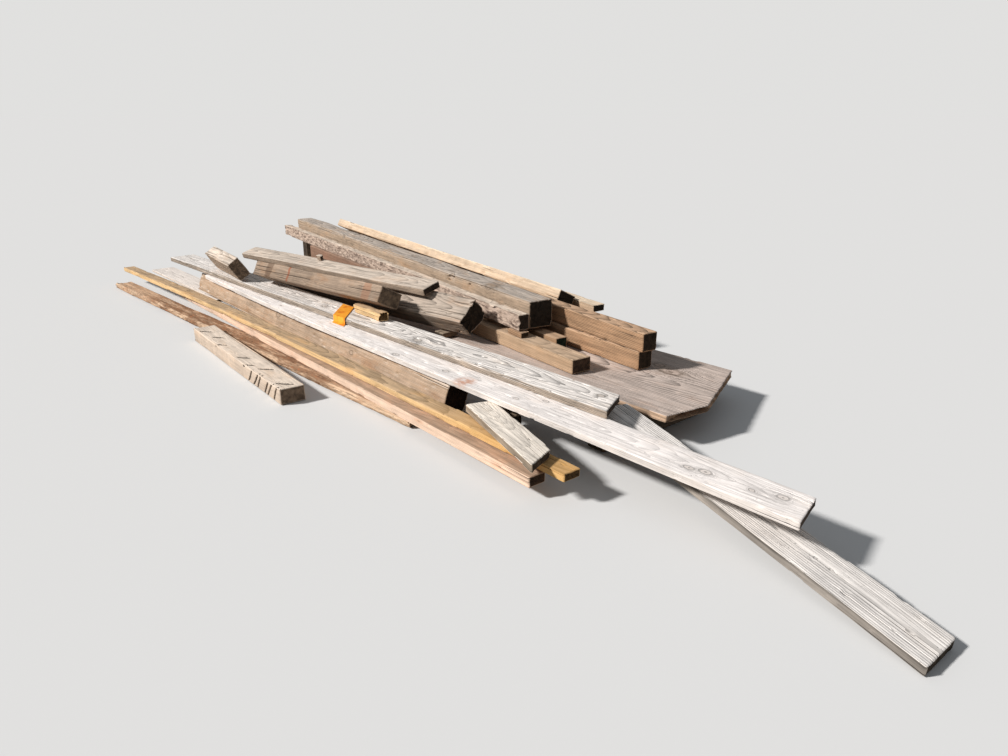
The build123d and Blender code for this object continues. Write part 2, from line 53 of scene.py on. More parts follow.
# Wear: largest shares of a timber's own size, and sizes that all timbers share
WANDER_SHARE = 0.22
EDGE_SHARE = 0.55
DEPTH_SHARE = 0.8
WORN_EDGE_WIDTH = 1.6
END_ROUNDING = 0.004
END_ROUNDING_REACH = 0.0022
RAGGED_REACH = 0.02
OPEN_CUT = 0.004
CHECK_RUNS = (1, 4)
CHECK_REACH = (0.06, 0.32)

# Sides of a section, in turn round it
TOP, BACK, UNDER, FRONT = range(4)

# Light
SUN_FROM = (-0.70, -1.25, 1.0)
SUN_STRENGTH = 4.4
SUN_WIDTH = 6.0
SUN_DISTANCE = 6.0
SUN_TONE = (1.0, 0.975, 0.945)
SKY_STRENGTH = 0.24
SKY_TONE = (0.90, 0.95, 1.0)
SURROUND_TONE = (0.752, 0.748, 0.738)

# Floor
FLOOR_TONE = (0.74, 0.74, 0.74)
FLOOR_BOUNCE = (0.36, 0.34, 0.31)
FLOOR_SIZE = 200.0
FLOOR_DROP = 0.001

# Noise scales along, across and in height
SLOW = (1.1, 4.0, 4.0)
FINE = (7.0, 330.0, 330.0)
STREAK = (2.2, 85.0, 85.0)
BAND = (0.8, 17.0, 17.0)
PATCH = (4.2, 11.0, 11.0)
BLOTCH = (9.0, 9.0, 3.0)
SPLIT = (3.0, 150.0, 150.0)
SPECK = (95.0, 150.0, 150.0)
UNEVEN = (60.0, 60.0, 60.0)
KNOT_CELL = (2.6, 11.0, 11.0)
NO_SHIFT = (0.0, 0.0, 0.0)
SEED_STEPS = (1.7, 0.9, 2.3)

# Surfaces: depth of the relief, shine, and tone of the cracks as a share of the side tone, which paints shade
# into the cracks
RELIEF = 0.003
SHINE = 0.25
CRACK_TONE = 0.10

# Knots: how much shorter they count along the grain, and how far the grain gives way
KNOT_STRETCH = 0.62
KNOT_REACH = 4.0
KNOT_PULL = 0.85

# Factors and masks of the repeatable values
HASH_FACTORS = (374761393, 668265263, 2147483647, 1274126177)
HASH_WORD = 0xFFFFFFFF
HASH_RANGE = 0xFFFFFF


def linear(red, green, blue):
    """Linear colour from display values out of 255."""
    parts = [v / 255.0 for v in (red, green, blue)]
    return tuple(v / 12.92 if v <= 0.04045 else ((v + 0.055) / 1.055) ** 2.4 for v in parts)


def hashed(ix, iy, iz, seed):
    """Repeatable value from 0 to 1 for each grid point."""
    by_x, by_y, by_z, by_seed = HASH_FACTORS
    mixed = ix * by_x + iy * by_y + iz * by_z + seed * by_seed
    mixed = np.bitwise_and(mixed, HASH_WORD)
    mixed = np.bitwise_and((mixed ^ (mixed >> 13)) * by_seed, HASH_WORD)
    mixed = mixed ^ (mixed >> 16)
    return np.bitwise_and(mixed, HASH_RANGE) / float(HASH_RANGE)


def noise(x, y, z, seed):
    """Smooth noise from 0 to 1."""
    base = [np.floor(v).astype(np.int64) for v in (x, y, z)]
    part = [v - b for v, b in zip((x, y, z), base)]
    part = [v * v * (3 - 2 * v) for v in part]
    total = np.zeros(np.broadcast(x, y, z).shape)
    for i in (0, 1):
        for j in (0, 1):
            for k in (0, 1):
                weight = (
                    (part[0] if i else 1 - part[0])
                    * (part[1] if j else 1 - part[1])
                    * (part[2] if k else 1 - part[2])
                )
                total = total + weight * hashed(base[0] + i, base[1] + j, base[2] + k, seed)
    return total


class Place:
    """Axes, section, bend and plan outline of one timber, read from its CAD node."""

    def __init__(self, node):
        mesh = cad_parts[node].data
        points = np.array([v.co for v in mesh.vertices])
        chord = np.linalg.svd(points - points.mean(0), full_matrices=False)[2][0]
        chord = chord if chord[0] > 0 else -chord
        face, self.along = far_face(mesh, chord)
        self.up = top_normal(face, self.along)
        self.across = np.cross(self.up, self.along)
        self.start = np.zeros(3)
        section = self.to_local(face)
        self.start = self.axes().T @ ((section.max(0) + section.min(0)) / 2)
        section = self.to_local(face)
        _, self.half_width, self.half_height = section.max(0)
        self.thin = min(self.half_width, self.half_height)
        local = self.to_local(points)
        self.length = local[:, 0].max()
        self.read_bend(local)
        local[:, 1] -= self.bend(local[:, 0])
        self.outline = self.plan_outline(local)

    def axes(self):
        """Directions along, across and up, one in each row."""
        return np.array([self.along, self.across, self.up])

    def to_local(self, points):
        """Frame coordinates as along, across and height."""
        return (points - self.start) @ self.axes().T

    def to_frame(self, local):
        """Along, across and height as frame coordinates, with the bend put back."""
        bent = local.copy()
        bent[:, 1] += self.bend(local[:, 0])
        return self.start + bent @ self.axes()

    def read_bend(self, local):
        """Sideways place of the middle, at each station where the whole section is."""
        stations = []
        for s in sorted(set(local[:, 0].round(3))):
            across = local[np.abs(local[:, 0] - s) < STATION_ROOM, 1]
            if np.ptp(across) > WHOLE_SECTION * self.half_width:
                stations.append((s, (across.max() + across.min()) / 2))
        self.stations = np.array(stations).T

    def bend(self, s):
        """Sideways place of the middle at each distance along."""
        return np.interp(s, *self.stations)

    def plan_outline(self, local):
        """Corners of the timber seen from its top, as along and across, in turn."""
        points = sorted({(round(p[0], 4), round(p[1], 4)) for p in local})
        lower = []
        upper = []
        for chain, run in ((lower, points), (upper, reversed(points))):
            for p in run:
                while len(chain) > 1 and turn(chain[-2], chain[-1], p) <= 1e-7:
                    chain.pop()
                chain.append(p)
        return lower[:-1] + upper[:-1]

    def ends_at(self, across):
        """Where the outline starts and stops along the timber, at each distance across."""
        low = np.full(across.shape, np.inf)
        high = np.full(across.shape, -np.inf)
        loop = self.outline + self.outline[:1]
        for (s0, a0), (s1, a1) in zip(loop, loop[1:]):
            if abs(a1 - a0) < 1e-5:
                continue
            share = (across - a0) / (a1 - a0)
            hit = (share >= -0.01) & (share <= 1.01)
            s = s0 + np.clip(share, 0, 1) * (s1 - s0)
            low = np.where(hit, np.minimum(low, s), low)
            high = np.where(hit, np.maximum(high, s), high)
        return low, high


def far_face(mesh, chord):
    """Corners of the square end that looks back along the timber, and the direction away from it."""
    shape = bmesh.new()
    shape.from_mesh(mesh)
    bmesh.ops.remove_doubles(shape, verts=shape.verts, dist=MERGE)
    angle = math.radians(FLAT_ANGLE)
    bmesh.ops.dissolve_limit(shape, angle_limit=angle, verts=shape.verts, edges=shape.edges)
    backward = [f for f in shape.faces if f.normal.dot(chord) < LOOKS_BACK]
    face = min(backward, key=lambda f: f.normal.dot(chord) * f.calc_area())
    corners = np.array([v.co for v in face.verts])
    along = -np.array(face.normal)
    shape.free()
    return corners, along


def top_normal(face, along):
    """Normal of the long side that looks up most."""
    edges = np.roll(face, -1, axis=0) - face
    longest = edges[np.argmax(np.linalg.norm(edges, axis=1))]
    first = longest / np.linalg.norm(longest)
    second = np.cross(along, first)
    return max((first, -first, second, -second), key=lambda v: v[2])


def turn(a, b, c):
    """Above 0 where the way from a by b to c turns left."""
    return (b[0] - a[0]) * (c[1] - a[1]) - (b[1] - a[1]) * (c[0] - a[0])


class Wear:
    """How worn one timber is: depths in metres, counts and the seed of its noise."""

    def __init__(self, seed, checks=6, check_depth=0.007, check_width=0.002, edge=0.006, hollow=0.002,
                 grain=0.0012, ragged=0.004, lumps=0.0, wander=0.012, slits=(), cell=1.0):
        self.seed = seed
        self.checks = checks
        self.check_depth = check_depth
        self.check_width = check_width
        self.edge = edge
        self.hollow = hollow
        self.grain = grain
        self.ragged = ragged
        self.lumps = lumps
        self.wander = wander
        self.slits = slits
        self.cell = cell


class Slit:
    """Short cut, painted dark as shade inside it: its side, shares of the length and width, half sizes, turn
    from the grain, depth.
    """

    def __init__(self, side, along, across, half_length, half_width, turned, depth):
        self.side = side
        self.along = along
        self.across = across
        self.half_length = half_length
        self.half_width = half_width
        self.turned = math.radians(turned)
        self.depth = depth


class Ring:
    """Columns of points round a section, each with its side and its place on that side."""

    def __init__(self, place, wear, rng, cell):
        w = place.half_width
        h = place.half_height
        sides = [
            ((-w, h), (1, 0), (0, 1), 2 * w),
            ((w, h), (0, -1), (1, 0), 2 * h),
            ((w, -h), (-1, 0), (0, -1), 2 * w),
            ((-w, -h), (0, 1), (-1, 0), 2 * h),
        ]
        share = np.array([2 * w, h, 0.0, 2 * h])
        chosen = rng.choice(4, size=wear.checks, p=share / share.sum())
        rows = []
        for side, (start, direction, normal, length) in enumerate(sides):
            own = cell * COARSE_SIDE if side in (BACK, UNDER) else cell
            numbers = [n for n in range(wear.checks) if chosen[n] == side]
            for spot, check in side_positions(length, own, rng, numbers, wear.check_width):
                rows.append(start + direction + normal + (spot, length, side, check))
        table = np.array(rows).T[:, None, :]
        self.a0, self.b0, self.da, self.db, self.na, self.nb = table[:6]
        self.spot, self.span, self.side, self.check = table[6:]

    def at(self, shift):
        """Across and height of every point, moved along its side by a shift."""
        spot = self.spot + shift
        return self.a0 + self.da * spot, self.b0 + self.db * spot


def side_positions(length, cell, rng, checks, check_width):
    """Places along one side of the section, closer together at each drying check."""
    count = max(3, int(round(length / cell)))
    places = [(length * (i + 0.5) / count, -1) for i in range(count)]
    for number in checks:
        middle = length * rng.uniform(0.1, 0.9)
        places = [p for p in places if abs(p[0] - middle) > check_width * 1.7]
        places += [(middle - check_width, -1), (middle, number), (middle + check_width, -1)]
    return sorted(places)


def row_places(place, cell):
    """Share of the length and offset in metres of each row, closer together at both ends."""
    count = max(4, int(place.length / cell))
    share = np.linspace(0, 1, count + 1)[1:-1]
    near = np.array(END_ROWS) * min(1.0, cell / CELL_ALONG)
    shares = np.concatenate([np.zeros(len(near)), share, np.ones(len(near))])
    offsets = np.concatenate([near, np.zeros(len(share)), -near[::-1]])
    return shares[:, None], offsets[:, None]


def check_growth(s, ring, wear, rng, length):
    """How open each drying check is, from 0 to 1, along its few short runs."""
    grown = np.zeros(np.broadcast(s, ring.check).shape)
    for number in range(wear.checks):
        for _ in range(rng.integers(*CHECK_RUNS)):
            middle = rng.choice([0.0, 1.0, rng.uniform(0, 1), rng.uniform(0, 1)]) * length
            reach = rng.uniform(*CHECK_REACH)
            run = np.clip(1 - ((s - middle) / reach) ** 2, 0, 1) ** 0.5
            run = run * (0.55 + 0.9 * noise(s * 14, s * 0 + number, s * 0, wear.seed + 9))
            grown = np.maximum(grown, np.where(ring.check == number, run, 0.0))
    return np.clip(grown, 0, 1)


def slit_growth(s, ring, slits, length):
    """Depth in metres of the short cuts."""
    depth = np.zeros(np.broadcast(s, ring.spot).shape)
    for slit in slits:
        ds = s - slit.along * length
        dp = ring.spot - slit.across * ring.span
        u = (ds * math.cos(slit.turned) + dp * math.sin(slit.turned)) / slit.half_length
        v = (dp * math.cos(slit.turned) - ds * math.sin(slit.turned)) / slit.half_width
        own = slit.depth * np.clip(1 - u * u - v * v, 0, 1) ** 0.5
        depth = np.maximum(depth, np.where(ring.side == slit.side, own, 0.0))
    return depth


def worn_depth(s, a, b, ring, wear, edge_size, near_edge):
    """How far each point lies below the new surface, without checks and cuts."""
    seed = wear.seed
    depth = edge_size * 0.62 * near_edge ** 1.7
    depth = depth + wear.hollow * noise(s * 3.1, a * 9, b * 9, seed + 4)
    depth = depth + wear.grain * noise(s * 14, a * 120, b * 120, seed + 5)
    depth = depth + wear.grain * 2.0 * (noise(s * 30, a * 60, b * 60, seed + 6) > 0.86)
    if wear.lumps:
        rough = noise(s * 16, a * 40, b * 40, seed + 7) * noise(s * 45, a * 70, b * 70, seed + 8)
        depth = depth + wear.lumps * rough * np.where(ring.side == FRONT, 1.0, 0.35)
    return depth


def wandering(ring, wear, level):
    """Across and height of the points, in columns that wander a little along the timber."""
    room = 4 * (ring.spot / ring.span) * (1 - ring.spot / ring.span)
    drift = noise(level * 1.3, level * 0 + 3.1, level * 0, wear.seed + 12) - 0.5
    return ring.at(np.minimum(wear.wander, ring.span * WANDER_SHARE) * 2 * drift * room)


def edge_sizes(s, a, b, ring, place, wear):
    """How far the wear of the long edges reaches, with a few chips."""
    size = wear.edge * (0.35 + noise(s * 2.3, ring.na * 3 + ring.nb * 7, a * 0, wear.seed + 2) * 1.1)
    size = size + wear.edge * 1.6 * (noise(s * 9, a * 4, b * 4, wear.seed + 3) > 0.78)
    return np.minimum(size, place.thin * EDGE_SHARE)


def ragged_ends(s, a, b, side_end, edge_size, near_edge, wear):
    """How far the points near an end are drawn back along the timber."""
    coarse = noise(a * 45, b * 60, s * 0 + wear.seed, wear.seed + 1) ** 2
    rag = wear.ragged * (coarse + 0.3 * noise(a * 160, b * 160, s * 0, wear.seed))
    return (rag + edge_size * 0.6 * near_edge ** 2) * np.exp(-side_end / RAGGED_REACH)


def timber_mesh(name, place, wear):
    """Worn timber as a mesh, always inside its CAD solid."""
    rng = np.random.default_rng(wear.seed)
    step = 1
    ring = Ring(place, wear, rng, CELL_ACROSS * wear.cell * (1 + (step - 1) * QUICK_WIDENING))
    share, offset = row_places(place, CELL_ALONG * wear.cell * step)
    a, b = wandering(ring, wear, share * place.length)
    start, stop = place.ends_at(a)
    s = start + (stop - start) * share + offset
    side_end = np.minimum(s - start, stop - s)
    edge_size = edge_sizes(s, a, b, ring, place, wear)
    corner = np.minimum(ring.spot, ring.span - ring.spot)
    near_edge = np.clip(1 - corner / np.maximum(edge_size * WORN_EDGE_WIDTH, 1e-4), 0, 1)
    depth = worn_depth(s, a, b, ring, wear, edge_size, near_edge)
    depth = depth + np.minimum(wear.edge, END_ROUNDING) * np.exp(-side_end / END_ROUNDING_REACH)
    grown = check_growth(s, ring, wear, rng, place.length)
    cut = slit_growth(s, ring, wear.slits, place.length)
    depth = np.minimum(depth + wear.check_depth * grown + cut, place.thin * DEPTH_SHARE)
    # How open the checks and cuts are; the material darkens them as painted shade in these recesses
    crack = np.maximum(grown, np.clip(cut / OPEN_CUT, 0, 1))
    rag = ragged_ends(s, a, b, side_end, edge_size, near_edge, wear)
    s = s + np.where(share < 0.5, rag, -rag)
    a = a - ring.na * depth
    b = b - ring.nb * depth
    return closed_mesh(name, place, wear, (s, a, b), near_edge, crack)


def closed_mesh(name, place, wear, skin, near_edge, crack):
    """Object made of the rings and of a cap at each end."""
    s, a, b = skin
    rows, columns = s.shape
    local = [np.stack(skin, axis=-1).reshape(-1, 3)]
    marks = {"end": [np.zeros(s.size)], "edge": [near_edge.ravel()], "crack": [crack.ravel()]}
    faces = ring_faces(rows, columns)
    total = s.size
    for row, sign in ((0, -1), (rows - 1, 1)):
        cap, cap_faces = cap_points(s[row], a[row], b[row], crack[row], row * columns, total, sign, wear)
        local.append(cap)
        faces += cap_faces
        marks["end"].append(np.ones(len(cap)))
        marks["edge"].append(np.zeros(len(cap)))
        marks["crack"].append(np.zeros(len(cap)))
        total += len(cap)
    marks = {mark: np.concatenate(values) for mark, values in marks.items()}
    return mesh_piece(name, place, np.concatenate(local), faces, marks)


def mesh_piece(name, place, local, faces, marks):
    """Object with its grain coordinates and marks kept on the points."""
    mesh = bpy.data.meshes.new(name)
    mesh.from_pydata(place.to_frame(local).tolist(), [], faces)
    mesh.validate()
    mesh.update()
    grain = mesh.attributes.new("grain", "FLOAT_VECTOR", "POINT")
    grain.data.foreach_set("vector", local.astype(np.float32).ravel())
    for mark, values in marks.items():
        layer = mesh.attributes.new(mark, "FLOAT", "POINT")
        layer.data.foreach_set("value", values.astype(np.float32))
    normals = np.empty(len(mesh.vertices) * 3, np.float32)
    mesh.vertices.foreach_get("normal", normals)
    sky = mesh.attributes.new("sky", "FLOAT", "POINT")
    sky.data.foreach_set("value", normals.reshape(-1, 3)[:, 2].clip(0, 1))
    mesh.shade_smooth()
    mesh.set_sharp_from_angle(angle=math.radians(SHARP_ANGLE))
    piece = bpy.data.objects.new(name, mesh)
    bpy.context.scene.collection.objects.link(piece)
    return piece


def ring_faces(rows, m):
    """Quads between the rings."""
    first = np.arange(rows - 1)[:, None] * m + np.arange(m)[None, :]
    beside = np.arange(rows - 1)[:, None] * m + (np.arange(m)[None, :] + 1) % m
    quads = np.stack([first, first + m, beside + m, beside], axis=-1).reshape(-1, 4)
    return quads.tolist()


def cap_points(s, a, b, crack, start, total, sign, wear):
    """Points and faces that close one end, from the last ring inwards."""
    m = len(s)
    mid_a = (a.max() + a.min()) / 2
    mid_b = (b.max() + b.min()) / 2
    slope = np.polyfit(a, s, 1)
    flat = np.polyval(slope, a)
    points = []
    faces = []
    outer = [start + i for i in range(m)]
    base = total
    for scale in CAP_RINGS:
        ring_a = mid_a + (a - mid_a) * scale
        ring_b = mid_b + (b - mid_b) * scale
        sunk = wear.ragged * 0.5 * noise(ring_a * 60, ring_b * 60, ring_a * 0, wear.seed + 11)
        sunk = sunk + crack * wear.check_depth * 0.8 * scale
        level = np.polyval(slope, ring_a) + (s - flat) * scale
        points.append(np.stack([level - sign * sunk, ring_a, ring_b], axis=-1))
        inner = [base + i for i in range(m)]
        for i in range(m):
            j = (i + 1) % m
            quad = [outer[i], outer[j], inner[j], inner[i]]
            faces.append(quad if sign > 0 else quad[::-1])
        outer = inner
        base += m
    points.append(np.array([[np.polyval(slope, mid_a) - sign * wear.ragged * 0.2, mid_a, mid_b]]))
    for i in range(m):
        triangle = [outer[i], outer[(i + 1) % m], base]
        faces.append(triangle if sign > 0 else triangle[::-1])
    return np.concatenate(points), faces


class Value:
    """A shader socket that takes plain arithmetic."""

    def __init__(self, graph, socket):
        self.graph = graph
        self.socket = socket

    def math(self, operation, *others):
        """Result of one operation on this socket and the others."""
        return self.graph.node("ShaderNodeMath", {"operation": operation}, (self,) + others).out()

    def __add__(self, other):
        return self.math("ADD", other)

    def __radd__(self, other):
        return self.math("ADD", other)

    def __sub__(self, other):
        return self.math("SUBTRACT", other)

    def __rsub__(self, other):
        return (self * -1.0) + other

    def __mul__(self, other):
        return self.math("MULTIPLY", other)

    def __truediv__(self, other):
        return self.math("DIVIDE", other)

    def __pow__(self, other):
        return self.math("POWER", other)

    def between(self, low, high):
        """0 below low, 1 above high and a smooth step in between."""
        settings = {"interpolation_type": "SMOOTHSTEP"}
        return self.graph.node("ShaderNodeMapRange", settings, (self, low, high, 0.0, 1.0)).out()

    def sine(self):
        return self.math("SINE")

    def size(self):
        return self.math("ABSOLUTE")

    def clamped(self, low, high):
        return self.graph.node("ShaderNodeClamp", {}, (self, low, high)).out()


class Step:
    """One node of the graph."""

    def __init__(self, graph, node):
        self.graph = graph
        self.node = node

    def out(self, name=0):
        return Value(self.graph, self.node.outputs[name])


class Graph:
    """Node tree of one material or of the world."""

    def __init__(self, owner):
        self.owner = owner
        owner.use_nodes = True
        self.tree = owner.node_tree
        self.tree.nodes.clear()

    def node(self, kind, settings, inputs):
        """One node, with its settings and its constant or linked inputs."""
        node = self.tree.nodes.new(kind)
        for key, value in settings.items():
            setattr(node, key, value)
        pairs = inputs.items() if isinstance(inputs, dict) else enumerate(inputs)
        for key, value in pairs:
            if isinstance(value, Value):
                self.tree.links.new(value.socket, node.inputs[key])
            else:
                node.inputs[key].default_value = self.filled(node.inputs[key], value)
        return Step(self, node)

    @staticmethod
    def filled(socket, value):
        """A colour constant with its alpha, any other constant as it is."""
        return tuple(value) + (1.0,) if socket.type == "RGBA" else value

    def mark(self, name, output="Fac"):
        """A mark kept on the mesh."""
        return self.node("ShaderNodeAttribute", {"attribute_name": name}, ()).out(output)

    def stretched(self, vector, scales, shift):
        """The grain coordinates, scaled along, across and in height."""
        settings = {"operation": "MULTIPLY_ADD"}
        return self.node("ShaderNodeVectorMath", settings, (vector, scales, shift)).out()

    def noise(self, vector, scale=1.0, detail=3.0, roughness=0.55):
        """Soft noise from 0 to 1."""
        inputs = {"Vector": vector, "Scale": scale, "Detail": detail, "Roughness": roughness}
        return self.node("ShaderNodeTexNoise", {}, inputs).out("Fac")

    def scaled(self, colour, factor):
        """A colour made lighter or darker."""
        inputs = {"Vector": colour, "Scale": factor}
        return self.node("ShaderNodeVectorMath", {"operation": "SCALE"}, inputs).out()

    def mix(self, first, second, factor):
        """Mix of two colours by a factor."""
        node = self.tree.nodes.new("ShaderNodeMix")
        node.data_type = "RGBA"
        named = {s.identifier: s for s in node.inputs}
        for key, value in (("Factor_Float", factor), ("A_Color", first), ("B_Color", second)):
            if isinstance(value, Value):
                self.tree.links.new(value.socket, named[key])
            else:
                named[key].default_value = self.filled(named[key], value)
        colour = [s for s in node.outputs if s.identifier == "Result_Color"][0]
        return Value(self, colour)

    def finish(self, colour, roughness, height, bump):
        """The material, with a surface of this colour, roughness and relief."""
        relief = {"Strength": bump, "Distance": RELIEF, "Height": height}
        normal = self.node("ShaderNodeBump", {}, relief).out()
        inputs = {"Base Color": colour, "Roughness": roughness, "Normal": normal, "Specular IOR Level": SHINE}
        surface = self.node("ShaderNodeBsdfPrincipled", {}, inputs).out()
        self.node("ShaderNodeOutputMaterial", {}, {"Surface": surface})
        return self.owner


class Wood:
    """Tones and figure of one kind of weathered wood.

    Knots are given as along, across, height and radius.
    """

    def __init__(self, name, seed, top, side, end, warm=(190, 150, 112), warmth=0.3, figure=0.4, fibre=0.5,
                 cracks=0.6, blotch=0.5, ring=0.006, pith=0.05, drift=0.02, knots=(), extra=None):
        self.name = name
        self.seed = seed
        self.top = linear(*top)
        self.side = linear(*side)
        self.end = linear(*end)
        self.warm = linear(*warm)
        self.warmth = warmth
        self.figure = figure
        self.fibre = fibre
        self.cracks = cracks
        self.blotch = blotch
        self.ring = ring
        self.pith = pith
        self.drift = drift
        self.knots = knots
        self.extra = extra


class Grain:
    """Patterns of one wood, from the grain coordinates kept on its mesh."""

    def __init__(self, g, wood):
        self.place = g.mark("grain", "Vector")
        self.shift = tuple(wood.seed * step for step in SEED_STEPS)
        parts = g.node("ShaderNodeSeparateXYZ", {}, (self.place,))
        self.along, self.across, self.height = (parts.out(axis) for axis in "XYZ")
        self.slow = g.noise(g.stretched(self.place, SLOW, self.shift), detail=2.0)
        uneven = g.noise(g.stretched(self.place, UNEVEN, self.shift), detail=3.0) * 0.9 + 0.55
        self.knots = [(spot, self.away_from(spot) * uneven) for spot in wood.knots]
        bent, raised = self.round_knots()
        self.flow = g.node("ShaderNodeCombineXYZ", {}, (self.along, bent, raised)).out()
        self.fine = g.noise(g.stretched(self.flow, FINE, self.shift), detail=3.0, roughness=0.7)
        self.streak = g.noise(g.stretched(self.flow, STREAK, self.shift), detail=4.0, roughness=0.62)
        self.band = g.noise(g.stretched(self.flow, BAND, self.shift), detail=3.0)
        self.patch = g.noise(g.stretched(self.place, PATCH, self.shift), detail=5.0, roughness=0.62)
        self.late = rings(self.along, bent, raised, self.slow, wood)

    def away_from(self, spot):
        """Distance from a knot, shorter along the grain."""
        s, a, b, _ = spot
        away_along = (self.along - s) * KNOT_STRETCH
        away_across = self.across - a
        away_height = self.height - b
        return (away_along * away_along + away_across * away_across + away_height * away_height) ** 0.5

    def round_knots(self):
        """Across and height of the grain lines, which give way round each knot."""
        bent = self.across + (self.slow - 0.5) * 0.03
        raised = self.height
        for (_, a, b, radius), away in self.knots:
            pull = (1.0 - away.between(0.0, radius * KNOT_REACH)) * KNOT_PULL
            bent = bent - (self.across - a) * pull
            raised = raised - (self.height - b) * pull
        return bent, raised


def wood_material(wood):
    """Weathered wood that follows the grain marks on the mesh."""
    g = Graph(bpy.data.materials.new(wood.name))
    grain = Grain(g, wood)
    fine, streak = grain.fine, grain.streak
    dark = tuple(v * CRACK_TONE for v in wood.side)
    split = g.noise(g.stretched(grain.flow, SPLIT, grain.shift[::-1]), detail=2.0).between(0.66, 0.72)
    specks = g.noise(g.stretched(grain.place, SPECK, grain.shift), detail=2.0).between(0.70, 0.76)
    colour = side_colour(g, grain, wood)
    # Painted shade: dark splits along the grain, for the shade inside the cracks
    colour = g.mix(colour, dark, split * streak.between(0.35, 0.6) * wood.cracks)
    colour = g.mix(colour, dark, specks * 0.6)
    rubbed = g.mark("edge").between(0.3, 1.0) * streak.between(0.4, 0.6)
    colour = g.mix(colour, g.scaled(wood.top, 1.15), rubbed * 0.5)
    colour = small_knots(g, grain, colour, wood)
    for (_, _, _, radius), away in grain.knots:
        colour = knot(g, colour, away, radius, wood)
    if wood.extra:
        colour = wood.extra(g, grain.place, colour)
    # End faces take the end tone, which is partly painted shade
    colour = g.mix(colour, end_colour(g, grain, wood), g.mark("end").between(0.3, 0.7))
    # Painted shade: the drying checks and cuts of the mesh are darkened almost to black
    colour = g.mix(colour, dark, g.mark("crack").between(0.15, 0.6) * 0.95)
    relief = fine * 0.35 + streak * 0.5 + grain.late * wood.figure * 0.5
    relief = relief - split * wood.cracks - specks * 0.4
    return g.finish(colour, 0.84 + fine * 0.14, relief, 0.55)


def side_colour(g, grain, wood):
    """Tone of the long sides, mostly paler on top, with fibres, bands, patches and blotches; a top tone
    darker than its side, as for the pink and yellow studs, is painted shade.
    """
    fibres = (grain.fine - 0.5) * wood.fibre * 1.5 + (grain.streak - 0.5) * wood.fibre * 1.7
    shade = fibres + (grain.band - 0.5) * 0.5
    blotch = g.noise(g.stretched(grain.place, BLOTCH, grain.shift[::-1]), detail=6.0, roughness=0.7)
    shade = 1.08 + shade + (grain.patch - 0.5) * 0.5 + (blotch - 0.5) * wood.blotch
    shade = shade - grain.late * wood.figure * grain.band.between(0.25, 0.55)
    # Side and top tones mixed by how far the surface faces up; the darker tops of the pink and yellow studs
    # are painted shade
    colour = g.mix(wood.side, wood.top, g.mark("sky").between(0.2, 0.75))
    colour = g.mix(colour, wood.warm, grain.patch.between(0.5, 0.72) * wood.warmth)
    return g.scaled(colour, shade.clamped(0.3, 1.35))


def rings(along, across, height, slow, wood):
    """Dark late wood of the growth rings, about a pith that drifts along the timber."""
    level = height + along * wood.drift + (slow - 0.5) * 0.06 + wood.pith
    radius = (across * across + level * level) ** 0.5
    return (radius / wood.ring).math("FRACT") ** 2.5


def end_colour(g, grain, wood):
    """End grain, with close rings, saw marks and a few dark spots, in an end tone that is partly darker end
    grain and partly painted shade.
    """
    across, height = grain.across, grain.height
    level = height + wood.pith
    radius = (across * across + level * level) ** 0.5 + grain.slow * 0.01
    close = (radius * 1300.0).sine() * 0.5 + 0.5
    saw = ((across * 0.8 + height * 0.6) * 700.0).sine() * 0.5 + 0.5
    stain = g.noise(grain.place, scale=34.0, detail=5.0, roughness=0.7)
    shade = close * 0.3 + saw * 0.3 + stain.between(0.35, 0.65) * 0.9 + 0.25
    return g.scaled(wood.end, shade)


def knot(g, colour, away, radius, wood):
    """A knot with a dark rim, rings and a dark heart."""
    ringed = ((away * 1100.0).sine() * 0.5 + 0.5) * (1.0 - away.between(radius * 1.2, radius * 2.4))
    colour = g.mix(colour, g.scaled(wood.side, 0.45), ringed * 0.45)
    colour = g.mix(colour, g.mix(wood.warm, wood.top, 0.5), (1.0 - away.between(radius * 0.6, radius)) * 0.5)
    rim = away.between(radius * 0.6, radius * 0.9) * (1.0 - away.between(radius * 0.95, radius * 1.3))
    colour = g.mix(colour, g.scaled(wood.side, 0.25), rim * 0.55)
    return g.mix(colour, g.scaled(wood.side, 0.2), (1.0 - away.between(radius * 0.12, radius * 0.35)) * 0.7)


def small_knots(g, grain, colour, wood):
    """Small knots with a warm rim, in some of the cells of a stretched pattern."""
    cell = g.stretched(grain.flow, KNOT_CELL, grain.shift)
    inputs = {"Vector": cell, "Scale": 1.0, "Randomness": 0.9}
    cells = g.node("ShaderNodeTexVoronoi", {"feature": "F1"}, inputs)
    chance = g.node("ShaderNodeSeparateColor", {}, (cells.out("Color"),)).out("Red").between(0.72, 0.75)
    near = cells.out("Distance")
    rim = (1.0 - near.between(0.07, 0.15)) * chance
    heart = (1.0 - near.between(0.03, 0.07)) * chance
    colour = g.mix(colour, wood.warm, rim * 0.35)
    return g.mix(colour, g.scaled(wood.side, 0.15), heart * 0.8)


def along_of(g, place):
    """Distance along the timber."""
    return g.node("ShaderNodeSeparateXYZ", {}, (place,)).out("X")


def rotten(g, place, colour):
    """Brown rot in patches, with crumbly orange and dark spots, except near both ends."""
    along = along_of(g, place)
    where = g.noise(g.stretched(place, (3.4, 20.0, 20.0), (3.1, 0.4, 5.0)), detail=6.0, roughness=0.72)
    decayed = along.between(0.5, 1.0) * (1.0 - along.between(3.3, 3.6))
    colour = g.mix(colour, linear(128, 92, 66), where.between(0.4, 0.56) * decayed * 0.85)
    crumbs = g.noise(g.stretched(place, (26.0, 60.0, 60.0), NO_SHIFT), detail=4.0, roughness=0.7)
    orange = crumbs.between(0.58, 0.64) * decayed * where.between(0.5, 0.6)
    colour = g.mix(colour, linear(186, 104, 56), orange)
    return g.mix(colour, linear(56, 42, 32), (1.0 - crumbs.between(0.34, 0.42)) * decayed * 0.7)


